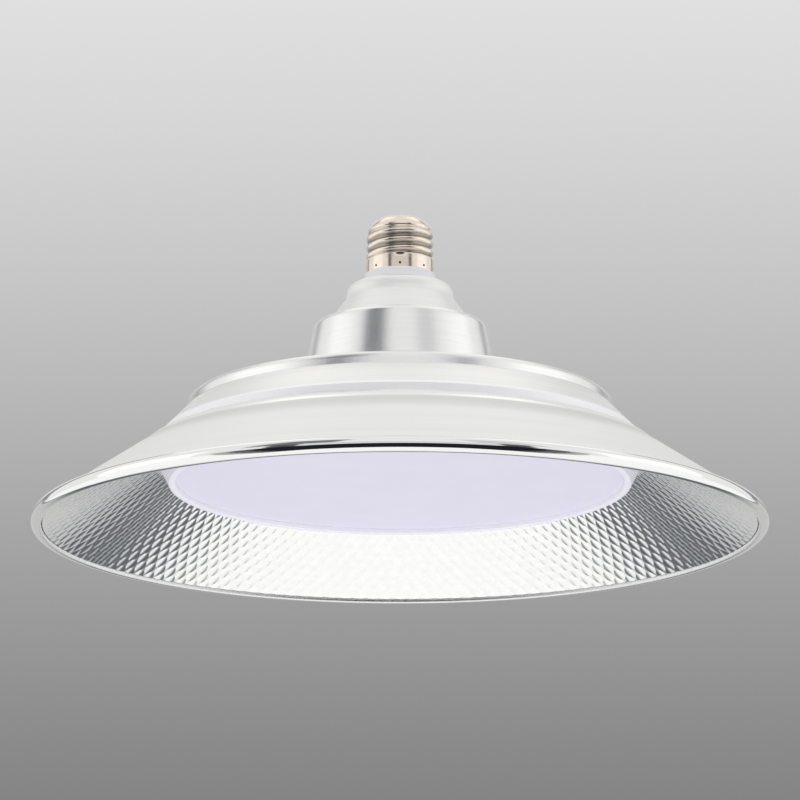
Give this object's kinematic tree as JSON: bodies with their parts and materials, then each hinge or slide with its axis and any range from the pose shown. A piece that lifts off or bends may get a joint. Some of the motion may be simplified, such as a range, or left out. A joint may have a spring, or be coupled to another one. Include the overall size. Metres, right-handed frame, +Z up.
{
  "type": "ufo led bulb",
  "caption": "Screw-in LED pendant lamp: wide spun aluminium shade with a turned lip, diamond-embossed liner, stepped housing and flat milky diffuser",
  "frame": {"origin": "On the lamp's axis, in the plane of the rim's lowest circle", "axes": "+Z up along the lamp's axis, from the shade's rim to the screw cap; the driver board lies in the XZ plane"},
  "size_m": [0.2836, 0.2836, 0.1275],
  "materials": {
    "contact": "polished nickel over brass",
    "insulator": "satin",
    "nickel": "polished nickel plate, slightly warm",
    "collar": "satin",
    "housing": "spun, satin with polished steps",
    "shade": "spun, satin cone with polished bead and lip",
    "reflector": "bright rolled, embossed with diamonds",
    "diffuser": "milky satin",
    "spreader": "milled",
    "board": "white solder mask",
    "phosphor": "gel",
    "screws": "zinc plated",
    "sleeve": "moulded",
    "circuit": "green solder mask",
    "can": "sleeved can",
    "ferrite": "ferrite and tape",
    "copper": "enamelled winding",
    "chip": "moulded",
    "resistor": "coated",
    "varistor": "dipped",
    "live": "wire insulation",
    "neutral": "wire insulation"
  },
  "bodies": {
    "root": {"centre_contact": "contact", "cap_insulator": "insulator", "screw_shell": "nickel", "base_collar": "collar", "housing": "housing", "shade": "shade", "reflector_liner": "reflector", "diffuser": "diffuser", "heat_spreader": "spreader", "led_board": "board", "led_chips": "phosphor", "led_board_screws": "screws", "shade_screws": "screws", "driver_sleeve": "sleeve", "sleeve_screws": "screws", "driver_board": "circuit", "bulk_capacitor": "can", "output_capacitor": "can", "transformer": "ferrite", "line_choke": "copper", "bridge_rectifier": "chip", "driver_chip": "chip", "fusible_resistor": "resistor", "varistor": "varistor", "live_wire": "live", "neutral_wire": "neutral", "led_wires": "live"}
  },
  "joints": []
}
